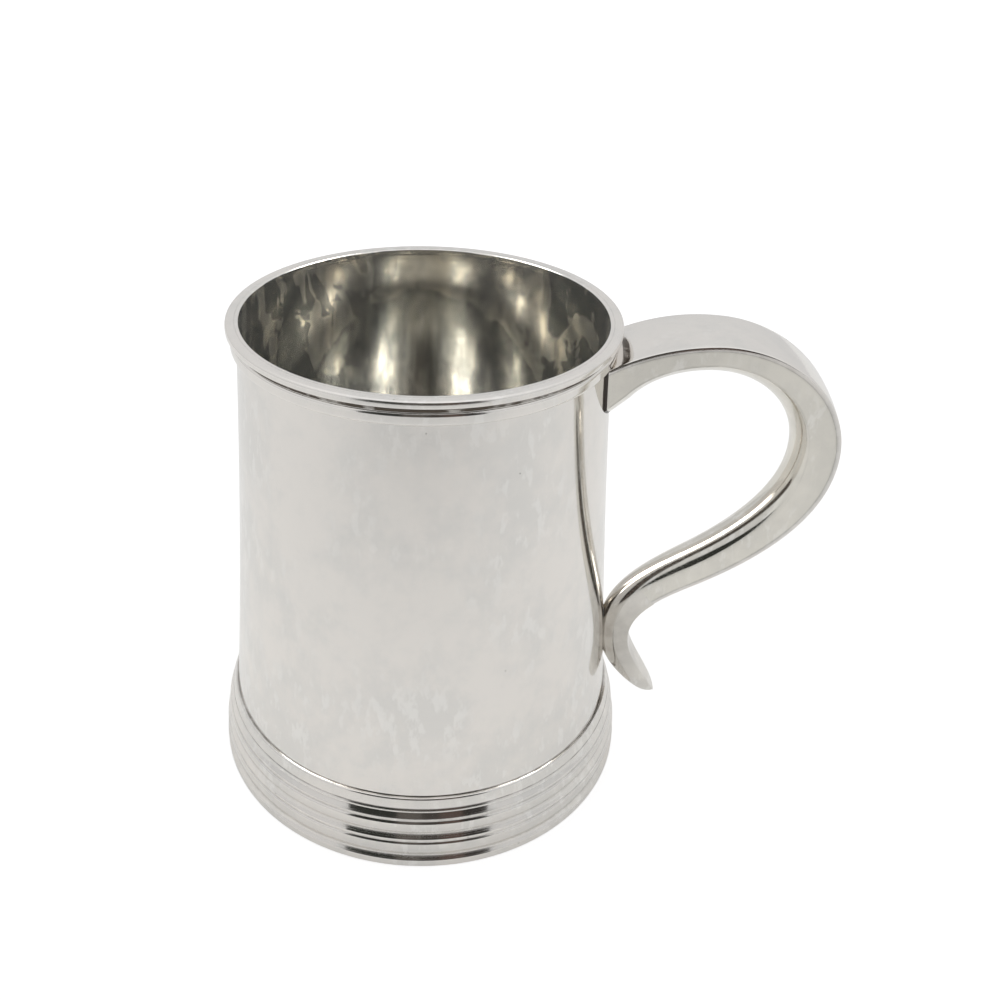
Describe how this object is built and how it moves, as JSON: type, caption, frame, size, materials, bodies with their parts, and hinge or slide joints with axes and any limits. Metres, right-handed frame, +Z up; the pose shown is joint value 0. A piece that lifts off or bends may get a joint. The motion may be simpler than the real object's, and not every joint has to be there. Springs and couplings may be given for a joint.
{
  "type": "silver tankard",
  "caption": "Open silver pint tankard with a tapered barrel, moulded lip, reeded foot, let-in bottom and hollow scroll handle ending in a flicked tongue.",
  "frame": {"origin": "on the floor under the centre of the whole footprint, halfway between the foot's left edge and the handle's outermost point", "axes": "+Z up along the barrel's axis, +X towards the handle"},
  "size_m": [0.1476, 0.1069, 0.1203],
  "materials": {
    "silver_barrel": "polished silver outside, dull and tarnished inside",
    "silver_rim": "polished silver with fine turning lines on the lip",
    "silver_foot": "polished silver, darker in the grooves between the reeds",
    "silver_base": "dull, tarnished silver",
    "silver_strap": "polished silver",
    "silver_channel": "polished silver with a faint warm tarnish",
    "silver_end_plate": "polished silver at a soldered seam",
    "silver_terminal": "polished silver"
  },
  "bodies": {
    "root": {"barrel": "silver_barrel", "rim_moulding": "silver_rim", "foot_moulding": "silver_foot", "base_disc": "silver_base", "handle_strap": "silver_strap", "handle_channel": "silver_channel", "handle_end_plate": "silver_end_plate", "handle_terminal": "silver_terminal"}
  },
  "joints": []
}
